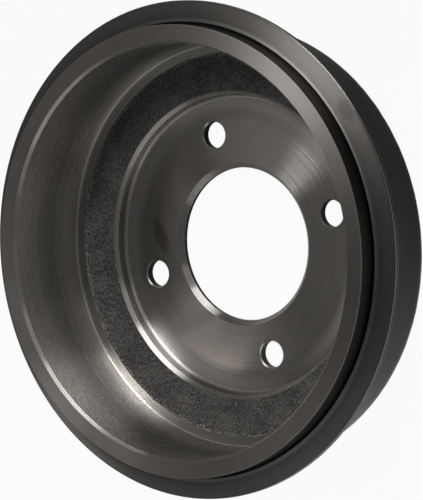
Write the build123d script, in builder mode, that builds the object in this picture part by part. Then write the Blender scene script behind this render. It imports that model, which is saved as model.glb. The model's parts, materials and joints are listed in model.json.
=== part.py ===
from build123d import *
import os

# A rear brake drum, cast in grey iron and then turned: one solid.
# Z = 0 is the face that lies against the wheel, and the open mouth looks up.
# Sizes are in millimetres.

# What the drum is fitted to
drum_diameter = 203.2  # braking surface, inside
braking_depth = 48.5  # lip face down to the land at the end of the braking surface
stud_circle = 114.3
stud_count = 4
stud_hole = 13.5
bore_diameter = 77.0  # over the hub's spigot

# Hub plate and the recess that it lies in
hub_plate = 5.0
hub_margin = 18.2  # from the stud circle out to the wall of the recess
hub_step = 7.5  # cast web above the hub face
hub_wall = 5.8  # recess wall, seen as a boss from the wheel side
shoulder_chamfer = 1.8
recess_corner = 1.1  # bevel that the tool leaves at the foot of the wall

# Web, land and ring
web_thickness = 6.5
land_width = 5.4
land_height = 1.0  # turned land above the cast web
land_corner = 0.7  # bevel in the corner of the braking surface
drum_wall = 8.4
back_corner = 5.0  # cast outer corner of the drum
boss_corner = 3.0  # cast fillet round the boss

# Mouth: a lip that stands inside the backing plate, a labyrinth groove and a flange
lip_wall = 9.1
lip_height = 9.2  # lip face above the bead
lead_in_width = 1.2
lead_in_depth = 1.8
groove_width = 1.2
groove_depth = 2.4
bead_width = 1.7  # small bead between the groove and the flange face
bead_height = 1.1
flange_reach = 11.5  # lip's outer wall out to the flange's edge
flange_fall = 1.4  # the flange face drops towards its edge
flange_edge = 2.9  # thickness at the edge
flange_root = 1.2  # bevel under the flange

# Edges broken after turning
bore_lead_in = 2.5  # hub side of the bore
hole_break = 0.6
boss_break = 0.8

# Radii, from the bore outwards
bore_radius = bore_diameter / 2
recess_radius = stud_circle / 2 + hub_margin
boss_radius = recess_radius + hub_wall
drum_radius = drum_diameter / 2
land_radius = drum_radius - land_width
body_radius = drum_radius + drum_wall
lip_radius = drum_radius + lip_wall
groove_radius = lip_radius + groove_width
bead_radius = groove_radius + bead_width
flange_radius = lip_radius + flange_reach

# Heights above the wheel face
web_top = hub_plate + hub_step
web_bottom = web_top - web_thickness
land_top = web_top + land_height
lip_top = land_top + braking_depth
bead_top = lip_top - lip_height
groove_bottom = bead_top - groove_depth
flange_top = bead_top - bead_height
edge_top = flange_top - flange_fall
flange_bottom = edge_top - flange_edge


def ring_edges(shape, radius, height):
    """Circular edges of one radius that lie at one height."""
    circles = shape.edges().filter_by(GeomType.CIRCLE)
    level = circles.filter_by_position(Axis.Z, height - 0.01, height + 0.01)
    return level.filter_by(lambda edge: abs(edge.radius - radius) < 0.01)


with BuildPart() as brake_drum:
    # Section of the casting, from the bore out along the back and in along the mouth
    with BuildSketch(Plane.XZ):
        with BuildLine():
            Polyline(
                (bore_radius, 0),
                (boss_radius, 0),
                (boss_radius, web_bottom),
                (body_radius, web_bottom),
                (body_radius, flange_bottom),
                (flange_radius, flange_bottom),
                (flange_radius, edge_top),
                (bead_radius, flange_top),
                (groove_radius, bead_top),
                (groove_radius, groove_bottom),
                (lip_radius, groove_bottom),
                (lip_radius, lip_top),
                (drum_radius, lip_top),
                (drum_radius, land_top),
                (land_radius, land_top),
                (land_radius, web_top),
                (recess_radius, web_top),
                (recess_radius, hub_plate),
                (bore_radius, hub_plate),
                close=True,
            )
        make_face()
    revolve(axis=Axis.Z)

    # Cast corners
    fillet(ring_edges(brake_drum, body_radius, web_bottom), radius=back_corner)
    fillet(ring_edges(brake_drum, boss_radius, web_bottom), radius=boss_corner)

    # Turned corners
    chamfer(ring_edges(brake_drum, body_radius, flange_bottom), length=flange_root)
    chamfer(ring_edges(brake_drum, drum_radius, land_top), length=land_corner)
    chamfer(ring_edges(brake_drum, recess_radius, hub_plate), length=recess_corner)
    chamfer(ring_edges(brake_drum, recess_radius, web_top), length=shoulder_chamfer)
    chamfer(ring_edges(brake_drum, boss_radius, 0), length=boss_break)
    mouth_face = brake_drum.faces().filter_by(Plane.XY).sort_by(Axis.Z)[-1]
    chamfer(
        ring_edges(brake_drum, drum_radius, lip_top),
        length=lead_in_width,
        length2=lead_in_depth,
        reference=mouth_face,
    )

    # Bore, wider where the hub enters
    chamfer(ring_edges(brake_drum, bore_radius, hub_plate), length=bore_lead_in)
    chamfer(ring_edges(brake_drum, bore_radius, 0), length=hole_break)

    # Stud holes
    with Locations((0, 0, hub_plate)):
        with PolarLocations(stud_circle / 2, stud_count):
            Hole(stud_hole / 2, depth=hub_plate)
    stud_rims = brake_drum.edges().filter_by(GeomType.CIRCLE)
    stud_rims = stud_rims.filter_by(lambda edge: abs(edge.radius - stud_hole / 2) < 0.01)
    chamfer(stud_rims, length=hole_break)

brake_drum.part.label = "brake_drum"

os.makedirs("parts", exist_ok=True)
export_step(brake_drum.part, "parts/brake_drum.step")
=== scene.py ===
import json
import math

import bmesh
import bpy
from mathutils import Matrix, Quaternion, Vector


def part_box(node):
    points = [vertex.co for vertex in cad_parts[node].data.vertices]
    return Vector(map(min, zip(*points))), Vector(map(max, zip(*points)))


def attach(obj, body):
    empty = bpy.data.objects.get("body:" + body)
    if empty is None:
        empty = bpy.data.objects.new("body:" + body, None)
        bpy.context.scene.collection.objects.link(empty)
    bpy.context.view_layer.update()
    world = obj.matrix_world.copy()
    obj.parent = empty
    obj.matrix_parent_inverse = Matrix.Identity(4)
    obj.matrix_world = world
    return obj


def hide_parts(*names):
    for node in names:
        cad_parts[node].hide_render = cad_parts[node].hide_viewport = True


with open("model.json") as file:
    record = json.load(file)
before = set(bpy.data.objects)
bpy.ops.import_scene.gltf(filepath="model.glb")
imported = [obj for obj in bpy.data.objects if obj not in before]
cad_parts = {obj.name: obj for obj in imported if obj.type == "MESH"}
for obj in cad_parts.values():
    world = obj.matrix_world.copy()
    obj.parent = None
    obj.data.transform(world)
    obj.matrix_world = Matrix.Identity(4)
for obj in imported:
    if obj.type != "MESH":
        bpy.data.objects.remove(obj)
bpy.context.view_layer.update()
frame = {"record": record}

mm = 0.001
mountDims = {mount["name"]: mount["dims"] for mount in frame["record"]["mounts"]}
drumLow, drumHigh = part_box("brake_drum")


# small helpers

def toLinear(hexColour):
    channels = [int(hexColour[i:i + 2], 16) / 255 for i in (1, 3, 5)]
    linear = [c / 12.92 if c <= 0.04045 else ((c + 0.055) / 1.055) ** 2.4 for c in channels]
    return (*linear, 1.0)


def addNode(tree, kind, settings=None, links=None):
    # settings: node attributes by name, input values by socket name or number
    # links: output sockets by the input that they feed
    node = tree.nodes.new(kind)
    for key, value in (settings or {}).items():
        if isinstance(key, str) and hasattr(node, key):
            setattr(node, key, value)
        else:
            node.inputs[key].default_value = value
    for key, source in (links or {}).items():
        tree.links.new(source, node.inputs[key])
    return node


def newMesh(name, points, edges=(), faces=()):
    mesh = bpy.data.meshes.new(name)
    mesh.from_pydata([Vector(p) * mm for p in points], edges, faces)
    return mesh


def newObject(name, data):
    piece = bpy.data.objects.new(name, data)
    bpy.context.scene.collection.objects.link(piece)
    return piece


def newMaterial(name, metallic=0.0):
    # the material, its tree, its shader and the place on the object
    material = bpy.data.materials.new(name)
    material.use_nodes = True
    tree = material.node_tree
    shader = tree.nodes["Principled BSDF"]
    shader.inputs["Metallic"].default_value = metallic
    return material, tree, shader, addNode(tree, "ShaderNodeTexCoord").outputs["Object"]


# finishes of the drum: one casting, so one metal under different tools

noiseLow, noiseHigh = 0.3, 0.7  # most values of a noise lie between them

turning = {  # lengths in mm
    "feed": 0.9,  # between turning marks; a lathe leaves 0.2 mm, too fine to show
    "band": 5.4,  # between the broader bands that they form
    "heightShare": 0.83,  # what a length along the axis counts along the section
    "mottle": 14,  # cloudy patches of oil film
    "bandShare": 0.5, "cloudShare": 0.6,  # of bands and patches in the tone, marks being 1
    "darkAt": 0.6, "lightAt": 1.5,  # sum of the three at the darker and the lighter tone
    "roughSpread": 0.03,  # roughness of the marks, above and below the face's own
    "patchFull": 0.6, "patchEnd": 1.15,  # a darkened patch, oily smudge and painted shade alike, fades between these shares of its size
    "dishRun": 10,  # from where a dish starts to where its slope is given
}


def sectionLength(tree, place):
    # distance along the section, near enough: radius plus height, so that both
    # faces and walls get rings; slightly uneven, so that chamfers get them too
    split = addNode(tree, "ShaderNodeSeparateXYZ", links={0: place})
    flat = addNode(tree, "ShaderNodeCombineXYZ", links={0: split.outputs[0], 1: split.outputs[1]})
    radius = addNode(tree, "ShaderNodeVectorMath", {"operation": "LENGTH"}, {0: flat.outputs[0]})
    return addNode(tree, "ShaderNodeMath",
                   {"operation": "MULTIPLY_ADD", 1: turning["heightShare"]},
                   {0: split.outputs[2], 2: radius.outputs["Value"]}).outputs[0]


def turnedIron(name, dark, light, roughness, lean, marks, darkAlong=(), dish=None, smudgesAndShade=()):
    # grey cast iron, turned: the tool's rings run round the axis and spread a
    # lamp's reflection across them, so it reads as a streak along the radius;
    # lean tilts the rings' flanks, as a tool that is fed one way leaves them;
    # marks is the depth of the rings in mm;
    # darkAlong gives how much of the colour is kept, by mm along the section: painted shade on the
    # flange and the lip's wall, a darker band on the braking surface;
    # dish is where along it the face starts to rise, and its slope 10 mm further on;
    # smudgesAndShade are darkened patches, some oily smudges and some painted shade: middle and
    # half sizes in mm, turn in degrees, share of the colour kept
    material, tree, shader, place = newMaterial(name, metallic=1.0)
    shader.inputs["Anisotropic"].default_value = 1
    shader.inputs["Anisotropic Rotation"].default_value = 0.25
    along = sectionLength(tree, place)
    ringWise = addNode(tree, "ShaderNodeVectorMath",
                       {"operation": "CROSS_PRODUCT", 0: (0, 0, 1)}, {1: place})
    tree.links.new(ringWise.outputs[0], shader.inputs["Tangent"])

    rings = addNode(tree, "ShaderNodeTexNoise",
                    {"noise_dimensions": "1D", "Scale": 1 / (turning["feed"] * mm),
                     "Detail": 2.0, "Roughness": 0.7}, {"W": along})
    bands = addNode(tree, "ShaderNodeTexNoise",
                    {"noise_dimensions": "1D", "Scale": 1 / (turning["band"] * mm),
                     "Detail": 1.0}, {"W": along})
    clouds = addNode(tree, "ShaderNodeTexNoise",
                     {"Scale": 1 / (turning["mottle"] * mm), "Detail": 5.0, "Roughness": 0.6},
                     {"Vector": place})
    ringAndBand = addNode(tree, "ShaderNodeMath",
                          {"operation": "MULTIPLY_ADD", 1: turning["bandShare"]},
                          {0: bands.outputs["Fac"], 2: rings.outputs["Fac"]})
    tone = addNode(tree, "ShaderNodeMath",
                   {"operation": "MULTIPLY_ADD", 1: turning["cloudShare"]},
                   {0: clouds.outputs["Fac"], 2: ringAndBand.outputs[0]})
    toneRange = addNode(tree, "ShaderNodeMapRange",
                        {"From Min": turning["darkAt"], "From Max": turning["lightAt"]},
                        {"Value": tone.outputs[0]})
    colour = addNode(tree, "ShaderNodeMix",
                     {"data_type": "RGBA", 6: toLinear(dark), 7: toLinear(light)},
                     {0: toneRange.outputs[0]})

    # darkenings: shares of the colour kept, along the section and in patches; painted shade among
    # them where a material below says so
    darkenings = []
    if darkAlong:
        first, last = darkAlong[0][0], darkAlong[-1][0]
        stretch = addNode(tree, "ShaderNodeMapRange",
                          {"From Min": first * mm, "From Max": last * mm}, {"Value": along})
        through = addNode(tree, "ShaderNodeFloatCurve", {"Factor": 1.0},
                          {"Value": stretch.outputs[0]})
        curve = through.mapping.curves[0]
        for mark, share in darkAlong[1:-1]:
            curve.points.new((mark - first) / (last - first), share)
        curve.points[0].location = (0, darkAlong[0][1])
        curve.points[-1].location = (1, darkAlong[-1][1])
        through.mapping.update()
        darkenings.append(through.outputs[0])
    for (x, y), (wide, long), turn, share in smudgesAndShade:
        patch = addNode(tree, "ShaderNodeMapping",
                        {"vector_type": "TEXTURE", "Location": (x * mm, y * mm, 0),
                         "Rotation": (0, 0, math.radians(turn)),
                         "Scale": (wide * mm, long * mm, 1)}, {"Vector": place})
        ellipse = addNode(tree, "ShaderNodeVectorMath", {"operation": "LENGTH"},
                          {0: patch.outputs[0]})
        patchShare = addNode(tree, "ShaderNodeMapRange",
                       {"From Min": turning["patchFull"], "From Max": turning["patchEnd"],
                        "To Min": share}, {"Value": ellipse.outputs["Value"]})
        darkenings.append(patchShare.outputs[0])
    for keptShare in darkenings:
        colour = addNode(tree, "ShaderNodeMix",
                         {"data_type": "RGBA", "blend_type": "MULTIPLY", 0: 1.0},
                         {6: colour.outputs[2], 7: keptShare})
    tree.links.new(colour.outputs[2], shader.inputs["Base Color"])

    rough = addNode(tree, "ShaderNodeMapRange",
                    {"From Min": noiseLow, "From Max": noiseHigh,
                     "To Min": roughness - turning["roughSpread"],
                     "To Max": roughness + turning["roughSpread"]},
                    {"Value": rings.outputs["Fac"]})
    tree.links.new(rough.outputs[0], shader.inputs["Roughness"])

    slope = addNode(tree, "ShaderNodeMath", {"operation": "MULTIPLY", 1: -lean}, {0: along})
    height = addNode(tree, "ShaderNodeMath", {"operation": "MULTIPLY_ADD", 1: marks * mm},
                     {0: rings.outputs["Fac"], 2: slope.outputs[0]})
    if dish:
        start, slopeThere = dish
        run = addNode(tree, "ShaderNodeMath",
                      {"operation": "SUBTRACT", 1: start * mm, "use_clamp": True}, {0: along})
        square = addNode(tree, "ShaderNodeMath", {"operation": "MULTIPLY"},
                         {0: run.outputs[0], 1: run.outputs[0]})
        height = addNode(tree, "ShaderNodeMath",
                         {"operation": "MULTIPLY_ADD",
                          1: slopeThere / (2 * turning["dishRun"] * mm)},
                         {0: square.outputs[0], 2: height.outputs[0]})
    bump = addNode(tree, "ShaderNodeBump", {"Strength": 1.0, "Distance": 1.0},
                   {"Height": height.outputs[0]})
    tree.links.new(bump.outputs[0], shader.inputs["Normal"])
    return material


casting = {  # lengths in mm
    "grain": 1.1,  # sand grain left on the cast skin
    "pit": 1.76,  # between the skin's pits
    "pitShare": 0.5,  # of the pits in the height, the grain being 1
    "mottle": 14,  # cloudy patches of graphite
    "cloudShare": 0.5,  # of the patches in the tone, the grain being 1
    "darkAt": 0.6, "lightAt": 0.9,  # sum of the two at the darker and the lighter tone
    "roughSpread": 0.06,  # roughness in the pits above the skin's own, and on the grain below it
    "speck": 0.88,  # grains painted lighter, as glints where a facet would catch the light and as bare metal where worn
    "speckColour": "#d0ccc6",
    "speckFrom": 0.66, "speckFull": 0.74,  # noise at which a grain starts to shine and does
    "touched": 0.2,  # what the tool adds to that noise where the skin is worn
}


def castIron(name, dark, light, metallic, roughness, grainDepth, specks=0.0, worn=None):
    # grey iron as it leaves the sand mould, with scale, graphite and a little oil on it: dull and
    # dark, and here and there a grain painted lighter, a painted glint where a facet would catch
    # the light;
    # grainDepth is in mm, specks is how bright such a painted grain is, and worn is the ring, in mm
    # from the axis, over which the tool has touched more and more of them, so that there they are
    # also bare metal
    material, tree, shader, place = newMaterial(name, metallic)
    grain = addNode(tree, "ShaderNodeTexNoise",
                    {"Scale": 1 / (casting["grain"] * mm), "Detail": 3.0, "Roughness": 0.65},
                    {"Vector": place})
    pits = addNode(tree, "ShaderNodeTexVoronoi", {"Scale": 1 / (casting["pit"] * mm)},
                   {"Vector": place})
    clouds = addNode(tree, "ShaderNodeTexNoise",
                     {"Scale": 1 / (casting["mottle"] * mm), "Detail": 4.0}, {"Vector": place})
    height = addNode(tree, "ShaderNodeMath",
                     {"operation": "MULTIPLY_ADD", 1: casting["pitShare"]},
                     {0: pits.outputs["Distance"], 2: grain.outputs["Fac"]})
    tone = addNode(tree, "ShaderNodeMath",
                   {"operation": "MULTIPLY_ADD", 1: casting["cloudShare"]},
                   {0: clouds.outputs["Fac"], 2: grain.outputs["Fac"]})
    toneRange = addNode(tree, "ShaderNodeMapRange",
                        {"From Min": casting["darkAt"], "From Max": casting["lightAt"]},
                        {"Value": tone.outputs[0]})
    colour = addNode(tree, "ShaderNodeMix",
                     {"data_type": "RGBA", 6: toLinear(dark), 7: toLinear(light)},
                     {0: toneRange.outputs[0]})
    # lighter grains: painted glints on the skin, and bare metal where the tool has worn it near the
    # land
    if specks:
        fine = addNode(tree, "ShaderNodeTexNoise",
                       {"Scale": 1 / (casting["speck"] * mm), "Detail": 1.0},
                       {"Vector": place})
        flat = addNode(tree, "ShaderNodeVectorMath", {"operation": "MULTIPLY", 1: (1, 1, 0)},
                       {0: place})
        radius = addNode(tree, "ShaderNodeVectorMath", {"operation": "LENGTH"},
                         {0: flat.outputs[0]})
        touched = addNode(tree, "ShaderNodeMapRange",
                          {"From Min": worn[0] * mm, "From Max": worn[1] * mm,
                           "To Max": casting["touched"]}, {"Value": radius.outputs["Value"]})
        raised = addNode(tree, "ShaderNodeMath", {"operation": "ADD"},
                         {0: fine.outputs["Fac"], 1: touched.outputs[0]})
        bright = addNode(tree, "ShaderNodeMapRange",
                         {"From Min": casting["speckFrom"], "From Max": casting["speckFull"],
                          "To Max": specks}, {"Value": raised.outputs[0]})
        colour = addNode(tree, "ShaderNodeMix",
                         {"data_type": "RGBA", 7: toLinear(casting["speckColour"])},
                         {0: bright.outputs[0], 6: colour.outputs[2]})
    tree.links.new(colour.outputs[2], shader.inputs["Base Color"])
    rough = addNode(tree, "ShaderNodeMapRange",
                    {"From Min": noiseLow, "From Max": noiseHigh,
                     "To Min": roughness + casting["roughSpread"],
                     "To Max": roughness - casting["roughSpread"]},
                    {"Value": grain.outputs["Fac"]})
    tree.links.new(rough.outputs[0], shader.inputs["Roughness"])
    bump = addNode(tree, "ShaderNodeBump", {"Strength": 1.0, "Distance": grainDepth * mm},
                   {"Height": height.outputs[0]})
    tree.links.new(bump.outputs[0], shader.inputs["Normal"])
    return material


materials = {
    # turned: name, darker and lighter tone, roughness, lean and marks
    # faced: its patch at 27° round the axis is painted shade, dimming the lamp's reflection on the
    # lip face there
    "faced": turnedIron("grey cast iron, faced", "#a29d98", "#b5afaa", 0.70, 0.26, 0.006,
                        smudgesAndShade=[((95.1, 48.4), (24, 50), 27, 0.58)]),
    "hub": turnedIron("grey cast iron, faced for the hub", "#a29e99", "#b5afa9",
                      0.23, 0.11, 0.008, dish=(66.5, 0.34),
                      smudgesAndShade=[((48.9, -17.9), (3.8, 10.5), 7, 0.6)]),
    "land": turnedIron("grey cast iron, faced and left bright", "#9a9893", "#a8a39e",
                       0.30, -0.14, 0.004),
    # bored: darkAlong keeps it lighter near the land and darker from the middle of its height to
    # the mouth, darkest at the middle
    "bored": turnedIron("grey cast iron, bored", "#cfcbc5", "#ddd9d3", 0.27, 0.0, 0.003,
                        darkAlong=[(110, 1.0), (119, 1.0), (125, 0.75), (131, 0.55), (142, 0.71),
                              (152, 0.74)]),
    # flange: darkAlong is painted shade on the bead's slope and the flange's inner edge beside the
    # lip wall; the larger patch, at 27° round the axis, is painted shade dimming the lamp's
    # reflection there
    "flange": turnedIron("grey cast iron, faced on the flange", "#918c87", "#a09c98",
                         0.62, 0.12, 0.006,
                         darkAlong=[(156.0, 0.85), (157.3, 0.9), (159.2, 1.0), (166, 1.0)],
                         smudgesAndShade=[((-112.0, -38.0), (3.6, 7.0), 20, 0.72),
                                  ((104.9, 53.4), (24, 36), 27, 0.62)]),
    # crest: lighter than the flange of the same iron, a painted highlight along the bead's top
    "crest": turnedIron("grey cast iron, faced on the bead", "#b5b1ad", "#c2beb9",
                        0.62, 0.12, 0.003),
    "recess": turnedIron("grey cast iron, bored for the hub", "#ada9a5", "#bab6b1",
                         0.26, 0.0, 0.002),
    "rounded": turnedIron("grey cast iron, edges rounded", "#827f7b", "#8f8c88",
                          0.30, 0.0, 0.003),
    # lipWall: its dark colour is painted shade on the lip's outer wall and the groove floor, and
    # darkAlong adds a band of painted shade just above the bead's top
    "lipWall": turnedIron("grey cast iron, turned, darkened as painted shade", "#353332", "#42403e",
                          0.32, 0.0, 0.004,
                          darkAlong=[(150, 1.0), (154.6, 1.0), (156.4, 0.9), (158, 1.0), (164, 1.0)]),
    # edge: lighter than the faces of the same iron, a painted highlight on the chamfers and rounded
    # inner corners
    "edge": turnedIron("grey cast iron, chamfered, lightened as painted highlight", "#c6c2be", "#d2cfc9", 0.28, 0.0, 0.003),
    # cast: name, darker and lighter tone, metallic, roughness and the grain's depth
    # drilled: near black, painted shade inside the stud holes and on the bore's lowest wall
    "drilled": castIron("grey cast iron, drilled, darkened as painted shade", "#2c2b2a", "#3a3836", 1.0, 0.35, 0.01),
    "broken": castIron("grey cast iron, edges broken", "#aaa6a1", "#c8c4bf", 1.0, 0.30, 0.01),
    "skin": castIron("grey cast iron, as cast", "#42403f", "#73706d", 0.1, 0.62, 1.3,
                     specks=0.6, worn=(94.0, 96.2)),
    "outside": castIron("grey cast iron, as cast and oiled", "#282625", "#2e2c2b",
                        0.7, 0.2, 0.02),
}
print("materials made:", len(materials))


# the drum's sizes, in mm from the axis and above the wheel face

drum = {
    "boreRadius": mountDims["hub_bore"]["r_mm"],
    "drumRadius": mountDims["braking_surface"]["r_mm"],
    "studCircle": mountDims["wheel_studs"]["pcd_mm"] / 2,
    "studRadius": mountDims["wheel_studs"]["hole_r_mm"],
    "studCount": mountDims["wheel_studs"]["count"],
    "flangeRadius": min(drumHigh.x, drumHigh.y, -drumLow.x, -drumLow.y) / mm,
    "lipTop": drumHigh.z / mm,
    "hubPlate": 5.0, "recessRadius": 75.35, "bossRadius": 81.15,
    "webTop": 12.5, "webBottom": 6.0, "landTop": 13.5, "landRadius": 96.2,
    "bodyRadius": 110.0, "lipRadius": 110.7, "grooveRadius": 111.9, "beadRadius": 113.6,
    "beadTop": 52.8, "grooveBottom": 50.4,
    "flangeTop": 51.7, "edgeTop": 50.3, "flangeBottom": 47.4,
    "crestWidth": 1.25,  # flat top of the bead
    "shoulder": 1.8, "recessCorner": 1.8, "landCorner": 1.2,
    "backCorner": 5.0, "bossCorner": 3.0, "flangeFillet": 2.0,
    "flangeCorner": 0.5, "lipCorner": 0.5, "crestCorner": 0.12,
    "flangeReach": 0.65, "lipReach": 0.75, "crestReach": 0.24,  # corner to the next finish
    "leadInWidth": 1.2, "leadInDepth": 1.8, "boreLeadIn": 2.5,
    "holeBreak": 0.6, "bossBreak": 0.8,
    "steps": 600,  # straight steps round the axis
    "arcSteps": 7,  # in each rounded corner of the section
    "skinRun": 1.0, "outsideRun": 3.0,  # longest step along the section, web and outside
    "turnedRun": 400,  # longer than any turned stretch, so that a straight one gets no steps
    "skinDepth": 0.3, "skinSize": 5.0,  # unevenness of the cast skin
    "skinFade": 3,  # steps over which it grows from a turned edge
    "edgeWander": 1.5, "wanderSize": 2.6,  # where the turned land runs out into the skin
    "seed": 4.0,
    "tolerance": 0.001,  # corners of a stretch this near are one
    "weld": 0.002,  # points of two stretches this near are one
    "sharpAngle": 25,  # degrees from which an edge is sharp
    "plugSteps": 64,  # round the drill of a stud hole
    "plugReach": 1.0,  # how far it stands out of the hub plate
}


def drumSection(d):
    # stretches of the section, which is closed: each with its finish and the corners that
    # follow the last one of the stretch before it; a third number rounds a corner
    bore, recess, boss = d["boreRadius"], d["recessRadius"], d["bossRadius"]
    wall, land, body = d["drumRadius"], d["landRadius"], d["bodyRadius"]
    lip, groove, bead, flange = (d["lipRadius"], d["grooveRadius"], d["beadRadius"],
                                 d["flangeRadius"])
    plate, webTop, webBottom, landTop = d["hubPlate"], d["webTop"], d["webBottom"], d["landTop"]
    lipTop, beadTop, grooveBottom = d["lipTop"], d["beadTop"], d["grooveBottom"]
    flangeTop, edgeTop, flangeBottom = d["flangeTop"], d["edgeTop"], d["flangeBottom"]
    holeBreak, bossBreak = d["holeBreak"], d["bossBreak"]
    corner, shoulder, leadIn = d["recessCorner"], d["shoulder"], d["boreLeadIn"]
    landCorner, reach = d["landCorner"], d["flangeReach"]
    flangeStart = (flange - reach, edgeTop + reach * (flangeTop - edgeTop) / (flange - bead))
    stretches = [
        ("faced", [(boss - bossBreak, 0)]),
        ("edge", [(boss, bossBreak)]),
        ("outside", [(boss, webBottom, d["bossCorner"]), (body, webBottom, d["backCorner"]),
                     (body, flangeBottom, d["flangeFillet"]),
                     (flange, flangeBottom, d["flangeCorner"]), (flange, edgeTop - reach)]),
        ("rounded", [(flange, edgeTop, d["flangeCorner"]), flangeStart]),
        ("flange", [(bead, flangeTop), (groove + d["crestWidth"], beadTop)]),
        ("crest", [(groove, beadTop, d["crestCorner"]), (groove, beadTop - d["crestReach"])]),
        ("lipWall", [(groove, grooveBottom), (lip, grooveBottom), (lip, lipTop - d["lipReach"])]),
        ("faced", [(lip, lipTop, d["lipCorner"]), (wall + d["leadInWidth"], lipTop)]),
        ("edge", [(wall, lipTop - d["leadInDepth"])]),
        ("bored", [(wall, landTop + landCorner)]),
        ("edge", [(wall, landTop, landCorner), (wall - landCorner, landTop)]),
        ("land", [(land, landTop)]),
        ("skin", [(land, webTop), (recess + shoulder, webTop)]),
        ("edge", [(recess, webTop - shoulder)]),
        ("recess", [(recess, plate + corner)]),
        ("edge", [(recess, plate, corner), (recess - corner, plate)]),
        ("hub", [(bore + leadIn, plate)]),
        ("recess", [(bore, plate - leadIn)]),
        ("drilled", [(bore, holeBreak)]),
        ("edge", [(bore + holeBreak, 0)]),
    ]
    last = stretches[-1][1][-1]
    for finishName, corners in stretches:
        corners.insert(0, last)
        last = corners[-1]
    return stretches


def roundedCorner(before, corner, after, radius, steps):
    inward, outward = (before - corner).normalized(), (after - corner).normalized()
    half = inward.angle(outward) / 2
    centre = corner + (inward + outward).normalized() * radius / math.sin(half)
    start = corner + inward * radius / math.tan(half) - centre
    end = corner + outward * radius / math.tan(half) - centre
    turn = math.atan2(start.x * end.y - start.y * end.x, start.dot(end))
    arc = []
    for i in range(steps + 1):
        cosine, sine = math.cos(turn * i / steps), math.sin(turn * i / steps)
        arc.append(centre + Vector((start.x * cosine - start.y * sine,
                                    start.x * sine + start.y * cosine)))
    return arc


def sectionPoints(corners, longest, d):
    # the stretch as a row of points, no further apart than the longest step
    flat = [Vector(c[:2]) for c in corners]
    path = [flat[0]]
    for i in range(1, len(corners)):
        if len(corners[i]) == 3:
            path += roundedCorner(flat[i - 1], flat[i], flat[i + 1], corners[i][2], d["arcSteps"])
        else:
            path.append(flat[i])
    points = [path[0]]
    for target in path[1:]:
        start, gap = points[-1], (target - points[-1]).length
        if gap < d["tolerance"]:
            continue
        runs = max(1, math.ceil(gap / longest))
        points += [start.lerp(target, i / runs) for i in range(1, runs + 1)]
    return points


def groupSocket(tree, name, kind, value=None):
    socket = tree.interface.new_socket(name, in_out="INPUT", socket_type=kind)
    if value is not None:
        socket.default_value = value


def setInputs(modifier, values):
    sockets = {item.name: item.identifier for item in modifier.node_group.interface.items_tree
               if item.item_type == "SOCKET" and item.in_out == "INPUT"}
    for name, value in values.items():
        modifier[sockets[name]] = value


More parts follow.
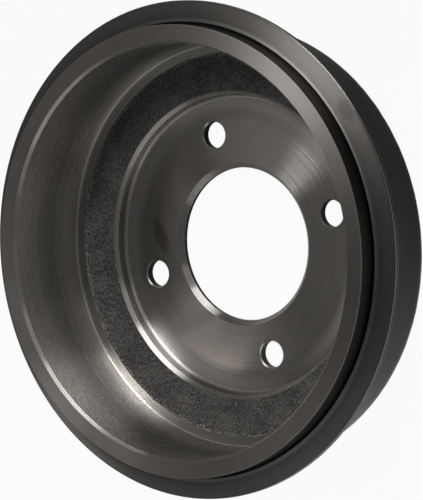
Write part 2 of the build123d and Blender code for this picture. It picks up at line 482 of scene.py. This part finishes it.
def latheTree():
    # sweeps a stretch of the section round the axis, roughens the cast skin and
    # lets the marked edge wander in and out
    tree = bpy.data.node_groups.new("lathedStretch", "GeometryNodeTree")
    groupSocket(tree, "Section", "NodeSocketGeometry")
    groupSocket(tree, "Steps", "NodeSocketInt", 64)
    for name in ("Radius", "Skin Depth", "Skin Size", "Edge Wander", "Wander Size", "Seed"):
        groupSocket(tree, name, "NodeSocketFloat", 1.0)
    groupSocket(tree, "Finish", "NodeSocketMaterial")
    tree.interface.new_socket("Mesh", in_out="OUTPUT", socket_type="NodeSocketGeometry")
    given = addNode(tree, "NodeGroupInput").outputs

    profile = addNode(tree, "GeometryNodeMeshToCurve", links={"Mesh": given["Section"]})
    path = addNode(tree, "GeometryNodeCurvePrimitiveCircle",
                   links={"Resolution": given["Steps"], "Radius": given["Radius"]})
    upright = addNode(tree, "GeometryNodeSetCurveNormal", {"mode": "Z_UP"},
                      {"Curve": path.outputs["Curve"]})
    swept = addNode(tree, "GeometryNodeCurveToMesh", links={
        "Curve": upright.outputs["Curve"], "Profile Curve": profile.outputs["Curve"]})

    position = addNode(tree, "GeometryNodeInputPosition").outputs[0]
    outward = addNode(tree, "GeometryNodeInputNormal").outputs[0]
    skin = addNode(tree, "GeometryNodeInputNamedAttribute",
                   {"data_type": "FLOAT", "Name": "skin"})
    edge = addNode(tree, "GeometryNodeInputNamedAttribute",
                   {"data_type": "FLOAT", "Name": "edge"})
    flat = addNode(tree, "ShaderNodeVectorMath", {"operation": "MULTIPLY", 1: (1, 1, 0)},
                   {0: position})
    radial = addNode(tree, "ShaderNodeVectorMath", {"operation": "NORMALIZE"},
                     {0: flat.outputs[0]})
    # one place for all heights of the edge, so that its wall moves as one
    rim = addNode(tree, "ShaderNodeVectorMath", {"operation": "SCALE"},
                  {0: radial.outputs[0], "Scale": given["Radius"]})
    noiseMiddle = 0.5
    offsets = []
    for place, size, depth, mask, direction in (
            (position, "Skin Size", "Skin Depth", skin, outward),
            (rim.outputs[0], "Wander Size", "Edge Wander", edge, radial.outputs[0])):
        scale = addNode(tree, "ShaderNodeMath", {"operation": "DIVIDE", 0: 1.0},
                        {1: given[size]})
        noise = addNode(tree, "ShaderNodeTexNoise", {"noise_dimensions": "4D", "Detail": 2.0},
                        {"Vector": place, "W": given["Seed"], "Scale": scale.outputs[0]})
        centred = addNode(tree, "ShaderNodeMath", {"operation": "SUBTRACT", 1: noiseMiddle},
                          {0: noise.outputs["Fac"]})
        masked = addNode(tree, "ShaderNodeMath", {"operation": "MULTIPLY"},
                         {0: centred.outputs[0], 1: mask.outputs["Attribute"]})
        amount = addNode(tree, "ShaderNodeMath", {"operation": "MULTIPLY"},
                         {0: masked.outputs[0], 1: given[depth]})
        offset = addNode(tree, "ShaderNodeVectorMath", {"operation": "SCALE"},
                         {0: direction, "Scale": amount.outputs[0]})
        offsets.append(offset.outputs[0])
    both = addNode(tree, "ShaderNodeVectorMath", {"operation": "ADD"},
                   {0: offsets[0], 1: offsets[1]})
    moved = addNode(tree, "GeometryNodeSetPosition",
                    links={"Geometry": swept.outputs[0], "Offset": both.outputs[0]})
    real = addNode(tree, "GeometryNodeRealizeInstances", links={0: moved.outputs[0]})
    dressed = addNode(tree, "GeometryNodeSetMaterial",
                      links={"Geometry": real.outputs[0], "Material": given["Finish"]})
    addNode(tree, "NodeGroupOutput", links={0: dressed.outputs[0]})
    return tree


def drillTree():
    # cuts the same plug out of the drum at even steps round a circle
    tree = bpy.data.node_groups.new("drilledHoles", "GeometryNodeTree")
    groupSocket(tree, "Drum", "NodeSocketGeometry")
    groupSocket(tree, "Plug", "NodeSocketObject")
    groupSocket(tree, "Count", "NodeSocketInt", 4)
    groupSocket(tree, "Circle Radius", "NodeSocketFloat", 0.05)
    groupSocket(tree, "Finish", "NodeSocketMaterial")
    groupSocket(tree, "Rim Finish", "NodeSocketMaterial")
    tree.interface.new_socket("Mesh", in_out="OUTPUT", socket_type="NodeSocketGeometry")
    given = addNode(tree, "NodeGroupInput").outputs

    plug = addNode(tree, "GeometryNodeObjectInfo", links={"Object": given["Plug"]})
    marked = addNode(tree, "GeometryNodeStoreNamedAttribute",
                     {"data_type": "BOOLEAN", "domain": "FACE", "Name": "drilled",
                      "Value": True}, {"Geometry": plug.outputs["Geometry"]})
    circle = addNode(tree, "GeometryNodeCurvePrimitiveCircle",
                     links={"Resolution": given["Count"], "Radius": given["Circle Radius"]})
    placed = addNode(tree, "GeometryNodeInstanceOnPoints",
                     links={"Points": circle.outputs["Curve"], "Instance": marked.outputs[0]})
    plugs = addNode(tree, "GeometryNodeRealizeInstances", links={0: placed.outputs[0]})
    cut = addNode(tree, "GeometryNodeMeshBoolean",
                  {"operation": "DIFFERENCE", "solver": "EXACT"},
                  {"Mesh 1": given["Drum"], "Mesh 2": plugs.outputs[0]})

    drilled = addNode(tree, "GeometryNodeInputNamedAttribute",
                      {"data_type": "BOOLEAN", "Name": "drilled"})
    normal = addNode(tree, "GeometryNodeInputNormal").outputs[0]
    upright = addNode(tree, "ShaderNodeSeparateXYZ", links={0: normal})
    steep = addNode(tree, "ShaderNodeMath", {"operation": "ABSOLUTE"}, {0: upright.outputs[2]})
    bevelSlope = 0.3  # a hole's wall has level normals, and its bevels have steeper ones
    slanted = addNode(tree, "ShaderNodeMath", {"operation": "GREATER_THAN", 1: bevelSlope},
                      {0: steep.outputs[0]})
    onRim = addNode(tree, "ShaderNodeMath", {"operation": "MULTIPLY"},
                    {0: slanted.outputs[0], 1: drilled.outputs["Attribute"]})
    real = addNode(tree, "GeometryNodeRealizeInstances", links={0: cut.outputs["Mesh"]})
    walls = addNode(tree, "GeometryNodeSetMaterial", links={
        "Geometry": real.outputs[0], "Selection": drilled.outputs["Attribute"],
        "Material": given["Finish"]})
    dressed = addNode(tree, "GeometryNodeSetMaterial", links={
        "Geometry": walls.outputs[0], "Selection": onRim.outputs[0],
        "Material": given["Rim Finish"]})
    addNode(tree, "NodeGroupOutput", links={0: dressed.outputs[0]})
    return tree


def evaluated(piece):
    # the finished plain mesh of a piece with modifiers
    graph = bpy.context.evaluated_depsgraph_get()
    return bpy.data.meshes.new_from_object(piece.evaluated_get(graph), depsgraph=graph)


def lathe(tree, name, corners, finishName, d):
    castRuns = {"skin": d["skinRun"], "outside": d["outsideRun"]}
    isSkin = finishName in castRuns
    points = sectionPoints(corners, castRuns.get(finishName, d["turnedRun"]), d)
    start = d["boreRadius"]
    stretch = newObject(name, newMesh(name, [(p.x - start, -p.y, 0) for p in points],
                                      [(i, i + 1) for i in range(len(points) - 1)]))
    skin = stretch.data.attributes.new("skin", "FLOAT", "POINT")
    edge = stretch.data.attributes.new("edge", "FLOAT", "POINT")
    # the land's edge wanders, and the step below it with it
    landEdge = Vector((d["landRadius"], d["landTop"]))
    landStep = d["landTop"] - d["webTop"] + d["tolerance"]
    for i, p in enumerate(points):
        fromEnd = min(i, len(points) - 1 - i)
        skin.data[i].value = min(1.0, fromEnd / d["skinFade"]) if isSkin else 0.0
        edge.data[i].value = 1.0 if (p - landEdge).length < landStep else 0.0
    modifier = stretch.modifiers.new("lathe", "NODES")
    modifier.node_group = tree
    setInputs(modifier, {
        "Steps": d["steps"], "Radius": start * mm, "Skin Depth": d["skinDepth"] * mm,
        "Skin Size": d["skinSize"] * mm, "Edge Wander": d["edgeWander"] * mm,
        "Wander Size": d["wanderSize"] * mm, "Seed": d["seed"],
        "Finish": materials[finishName]})
    mesh = evaluated(stretch)
    bpy.data.objects.remove(stretch)
    return mesh


def stackedRings(name, section, steps):
    # closed plug: rings at the given radii and heights, capped at both ends
    points, faces = [], []
    for radius, height in section:
        for i in range(steps):
            turn = 2 * math.pi * i / steps
            points.append((radius * math.cos(turn), radius * math.sin(turn), height))
    for level in range(len(section) - 1):
        for i in range(steps):
            a, b = level * steps + i, level * steps + (i + 1) % steps
            faces.append((a, b, b + steps, a + steps))
    faces.append(tuple(reversed(range(steps))))
    faces.append(tuple(range(len(points) - steps, len(points))))
    return newMesh(name, points, (), faces)


def makeDrum(d):
    tree = latheTree()
    shell = bmesh.new()
    finishes = []
    for number, (finishName, corners) in enumerate(drumSection(d)):
        if finishName not in finishes:
            finishes.append(finishName)
        mesh = lathe(tree, "stretch%02d" % number, corners, finishName, d)
        before = len(shell.faces)
        shell.from_mesh(mesh)
        shell.faces.ensure_lookup_table()
        for face in shell.faces[before:]:
            face.material_index = finishes.index(finishName)
        bpy.data.meshes.remove(mesh)
    bmesh.ops.remove_doubles(shell, verts=shell.verts, dist=d["weld"] * mm)
    bmesh.ops.recalc_face_normals(shell, faces=shell.faces)
    mesh = bpy.data.meshes.new("turnedDrum")
    shell.to_mesh(mesh)
    shell.free()
    for finishName in finishes:
        mesh.materials.append(materials[finishName])
    turned = newObject("turnedDrum", mesh)

    # the plug goes past both faces at the slope of the holes' bevels
    stud, plate, holeBreak, reach = d["studRadius"], d["hubPlate"], d["holeBreak"], d["plugReach"]
    end = stud + holeBreak + reach
    plug = newObject("studPlug", stackedRings("studPlug", [
        (end, -reach), (stud, holeBreak), (stud, plate - holeBreak), (end, plate + reach)],
        d["plugSteps"]))
    modifier = turned.modifiers.new("drill", "NODES")
    modifier.node_group = drillTree()
    setInputs(modifier, {"Plug": plug, "Count": d["studCount"],
                         "Circle Radius": d["studCircle"] * mm,
                         "Finish": materials["drilled"], "Rim Finish": materials["broken"]})
    finished = newObject("finishedDrum", evaluated(turned))
    for spare in (turned, plug):
        bpy.data.objects.remove(spare)
    finished.data.set_sharp_from_angle(angle=math.radians(d["sharpAngle"]))
    return finished


finishedDrum = makeDrum(drum)
print("drum made:", len(finishedDrum.data.polygons), "faces")
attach(finishedDrum, "root")
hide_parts("brake_drum")


# studio

studio = {
    "floorSize": 6.0,  # metres
    "floorDrop": 0.1,  # mm under the drum, so that the two faces don't meet
    "floorColour": "#e6e4e0",
    "floorGlow": 0.95,  # plain white in what the camera sees of it, the rest being lit paper
    # along Y, in mm, the lit paper darkens to this share of its colour
    "shadeFrom": 20, "shadeTo": -60, "shade": 0.25,
    # and the white that reflections see of it rises from the ambient share to this one
    "litFrom": -5, "litTo": 85, "litShare": 0.6,
    "ambient": 0.11,  # strength of the surroundings on the drum
}


def directRays(tree):
    # 1 for the rays that see the background in full: the camera's and those through glass
    path = addNode(tree, "ShaderNodeLightPath")
    return addNode(tree, "ShaderNodeMath", {"operation": "MAXIMUM"},
                   {0: path.outputs["Is Camera Ray"],
                    1: path.outputs["Is Transmission Ray"]}).outputs[0]


def makeFloor():
    half, low = studio["floorSize"] / 2 / mm, -studio["floorDrop"]
    floor = newObject("floor", newMesh("floor", [
        (-half, -half, low), (half, -half, low), (half, half, low), (-half, half, low)],
        (), [(0, 1, 2, 3)]))
    material, tree, shader, place = newMaterial("white paper sweep")
    shader.inputs["Roughness"].default_value = 0.9
    across = addNode(tree, "ShaderNodeSeparateXYZ", links={0: place}).outputs[1]
    far = addNode(tree, "ShaderNodeMapRange",
                  {"From Min": studio["shadeFrom"] * mm, "From Max": studio["shadeTo"] * mm},
                  {"Value": across})
    paper = toLinear(studio["floorColour"])
    shaded = (*(studio["shade"] * part for part in paper[:3]), 1)
    tone = addNode(tree, "ShaderNodeMix", {"data_type": "RGBA", 6: paper, 7: shaded},
                   {0: far.outputs[0]})
    tree.links.new(tone.outputs[2], shader.inputs["Base Color"])

    lit = addNode(tree, "ShaderNodeMapRange",
                  {"interpolation_type": "SMOOTHSTEP",
                   "From Min": studio["litFrom"] * mm, "From Max": studio["litTo"] * mm,
                   "To Min": studio["ambient"], "To Max": studio["litShare"]},
                  {"Value": across})
    path = addNode(tree, "ShaderNodeLightPath")
    seen = addNode(tree, "ShaderNodeMath", {"operation": "MULTIPLY_ADD", "use_clamp": True},
                   {0: path.outputs["Is Glossy Ray"], 1: lit.outputs[0], 2: directRays(tree)})
    share = addNode(tree, "ShaderNodeMath", {"operation": "MULTIPLY", 1: studio["floorGlow"]},
                    {0: seen.outputs[0]})
    glow = addNode(tree, "ShaderNodeEmission", {"Color": (1, 1, 1, 1), "Strength": 1.0})
    mixed = addNode(tree, "ShaderNodeMixShader",
                    links={0: share.outputs[0], 1: shader.outputs[0], 2: glow.outputs[0]})
    tree.links.new(mixed.outputs[0], tree.nodes["Material Output"].inputs["Surface"])
    floor.data.materials.append(material)


def makeWorld():
    world = bpy.data.worlds.new("studio")
    world.use_nodes = True
    bpy.context.scene.world = world
    tree = world.node_tree
    strength = addNode(tree, "ShaderNodeMath", {"operation": "MAXIMUM", 1: studio["ambient"]},
                       {0: directRays(tree)})
    backdrop = tree.nodes["Background"]
    backdrop.inputs["Color"].default_value = (1, 1, 1, 1)
    tree.links.new(strength.outputs[0], backdrop.inputs["Strength"])


lamps = {  # direction from the drum, width and height and roll about that direction, in degrees
    "keySoftbox": {"azimuth": 242, "elevation": 34, "size": (36, 34), "roll": -22, "radiance": 2.2},
    "keyTop": {"azimuth": 260, "elevation": 58, "size": (9, 20), "roll": 0, "radiance": 11},
    "besideKey": {"azimuth": 207, "elevation": 34, "size": (30, 34), "roll": 0, "radiance": 0.42},
    "tableBounce": {"azimuth": 101, "elevation": 16, "size": (66, 30), "roll": 0, "radiance": 0.1},
    "acrossCard": {"azimuth": 83, "elevation": 22, "size": (50, 12), "roll": 0, "radiance": 0.67},
    "sideCard": {"azimuth": 172, "elevation": 20, "size": (34, 22), "roll": 0, "radiance": 0.07},
    "farCard": {"azimuth": 352, "elevation": 30, "size": (20, 34), "roll": 0, "radiance": 0.39},
    "highCard": {"azimuth": 301, "elevation": 54, "size": (40, 22), "roll": 0, "radiance": 0.2},
    "highFar": {"azimuth": 36, "elevation": 42, "size": (46, 26), "roll": 0, "radiance": 0.15},
    "lowCard": {"azimuth": 266, "elevation": 5, "size": (26, 12), "roll": 0, "radiance": 1.05},
    "lowSide": {"azimuth": 100, "elevation": -2, "size": (60, 16), "roll": 0, "radiance": 0.6},
}
lampDistance = 1.3  # metres


def outFrom(azimuth, elevation):
    a, e = math.radians(azimuth), math.radians(elevation)
    return Vector((math.cos(e) * math.cos(a), math.cos(e) * math.sin(a), math.sin(e)))


def makeLamps():
    middle = Vector((0, 0, drum["lipTop"] / 2 * mm))
    for name, lamp in lamps.items():
        light = bpy.data.lights.new(name, "AREA")
        light.shape = "RECTANGLE"
        light.size, light.size_y = [2 * lampDistance * math.tan(math.radians(a / 2))
                                    for a in lamp["size"]]
        light.energy = lamp["radiance"] * math.pi * light.size * light.size_y
        holder = newObject(name, light)
        away = outFrom(lamp["azimuth"], lamp["elevation"])
        holder.location = middle + away * lampDistance
        holder.rotation_mode = "QUATERNION"
        holder.rotation_quaternion = (away.to_track_quat("Z", "Y")
                                      @ Quaternion((0, 0, 1), math.radians(lamp["roll"])))


view = {  # looking down into the mouth, turned so that the drum seems to stand on its rim
    "azimuth": 170.26, "elevation": 52.43, "roll": 96.92,  # degrees
    "distance": 1.368, "aim": (-0.0234, 0.0050),  # metres, aim in the lip's plane
    "lens": 204.9,  # mm
}


def makeCamera():
    camera = newObject("camera", bpy.data.cameras.new("camera"))
    camera.data.lens = view["lens"]
    back = outFrom(view["azimuth"], view["elevation"])
    camera.location = Vector((*view["aim"], drum["lipTop"] * mm)) + back * view["distance"]
    camera.rotation_mode = "QUATERNION"
    camera.rotation_quaternion = (back.to_track_quat("Z", "Y")
                                  @ Quaternion((0, 0, 1), -math.radians(view["roll"])))
    bpy.context.scene.camera = camera


makeFloor()
makeWorld()
makeLamps()
makeCamera()
bpy.context.scene.view_settings.view_transform = "Standard"
print("studio made:", len(lamps), "lamps")
